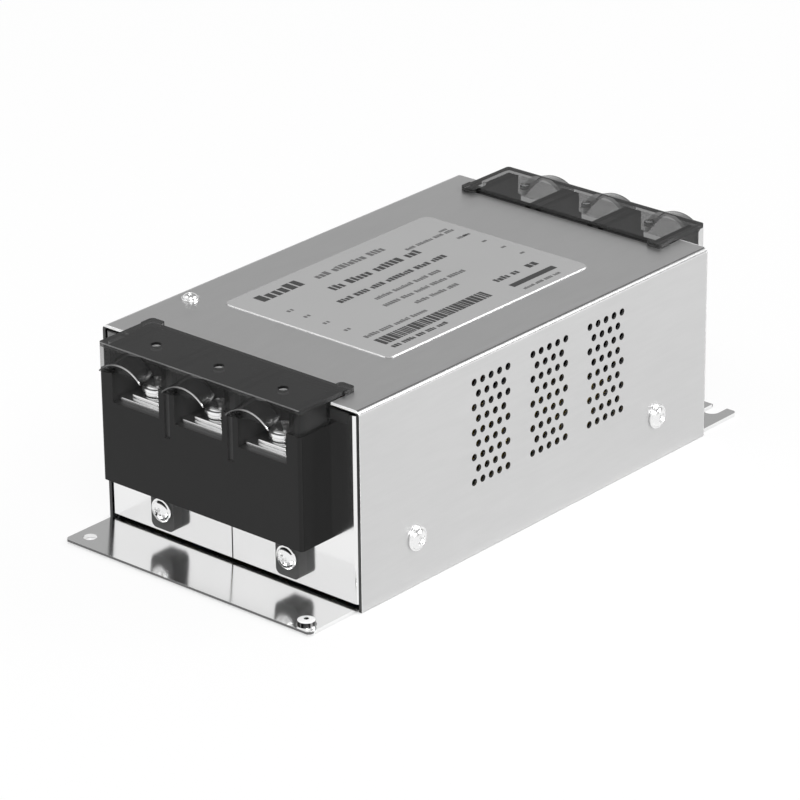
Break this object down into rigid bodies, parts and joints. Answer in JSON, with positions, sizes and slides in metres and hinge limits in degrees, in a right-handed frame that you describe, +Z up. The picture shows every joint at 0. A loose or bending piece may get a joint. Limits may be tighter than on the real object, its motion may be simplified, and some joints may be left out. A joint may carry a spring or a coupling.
{
  "type": "emi line filter",
  "caption": "Three-phase line filter in a folded steel box with end flanges, black screw terminal blocks and smoked covers.",
  "frame": {"origin": "middle of the housing on the underside of the base tray", "axes": "+Y along the housing from the line end to the load end, +X across it to the vented side, +Z up"},
  "size_m": [0.1096, 0.2101, 0.0677],
  "materials": {
    "tray_steel": "bright plated steel sheet, almost mirror-like",
    "cover_steel": "plated steel sheet, satin",
    "black_moulding": "black phenolic or polyamide moulding, satin",
    "smoked_plastic": "smoked transparent polycarbonate, glossy",
    "nickel_plate": "nickel plated brass or steel",
    "screw_plating": "bright zinc plated steel",
    "label_film": "silver grey polyester label",
    "insulating_film": "translucent polyester film",
    "board_laminate": "glass epoxy laminate with green solder mask",
    "core_coating": "epoxy coated ferrite ring",
    "enamelled_wire": "enamelled copper wire",
    "white_nylon": "moulded nylon",
    "film_capacitor_case": "filled plastic case",
    "disc_coating": "coated ceramic disc",
    "resistor_body": "lacquered resistor body",
    "lead_sleeve": "black insulated lead"
  },
  "bodies": {
    "root": {"base_tray": "tray_steel", "top_cover": "cover_steel", "line_terminal_block": "black_moulding", "load_terminal_block": "black_moulding", "line_terminal_cover": "smoked_plastic", "load_terminal_cover": "smoked_plastic", "line_terminal_plates": "nickel_plate", "load_terminal_plates": "nickel_plate", "square_washers": "nickel_plate", "spring_washers": "nickel_plate", "clamp_screws": "screw_plating", "block_screws": "screw_plating", "side_screws": "screw_plating", "top_screw": "screw_plating", "ground_screw": "screw_plating", "ground_washer": "screw_plating", "rating_label": "label_film", "insulating_sheet": "insulating_film", "circuit_board": "board_laminate", "board_standoffs": "nickel_plate", "board_screws": "screw_plating", "line_choke_core": "core_coating", "load_choke_core": "core_coating", "line_choke_windings": "enamelled_wire", "load_choke_windings": "enamelled_wire", "choke_carriers": "white_nylon", "x_capacitors": "film_capacitor_case", "earth_capacitor": "film_capacitor_case", "disc_capacitors": "disc_coating", "discharge_resistors": "resistor_body", "line_leads": "lead_sleeve", "load_leads": "lead_sleeve"}
  },
  "joints": []
}
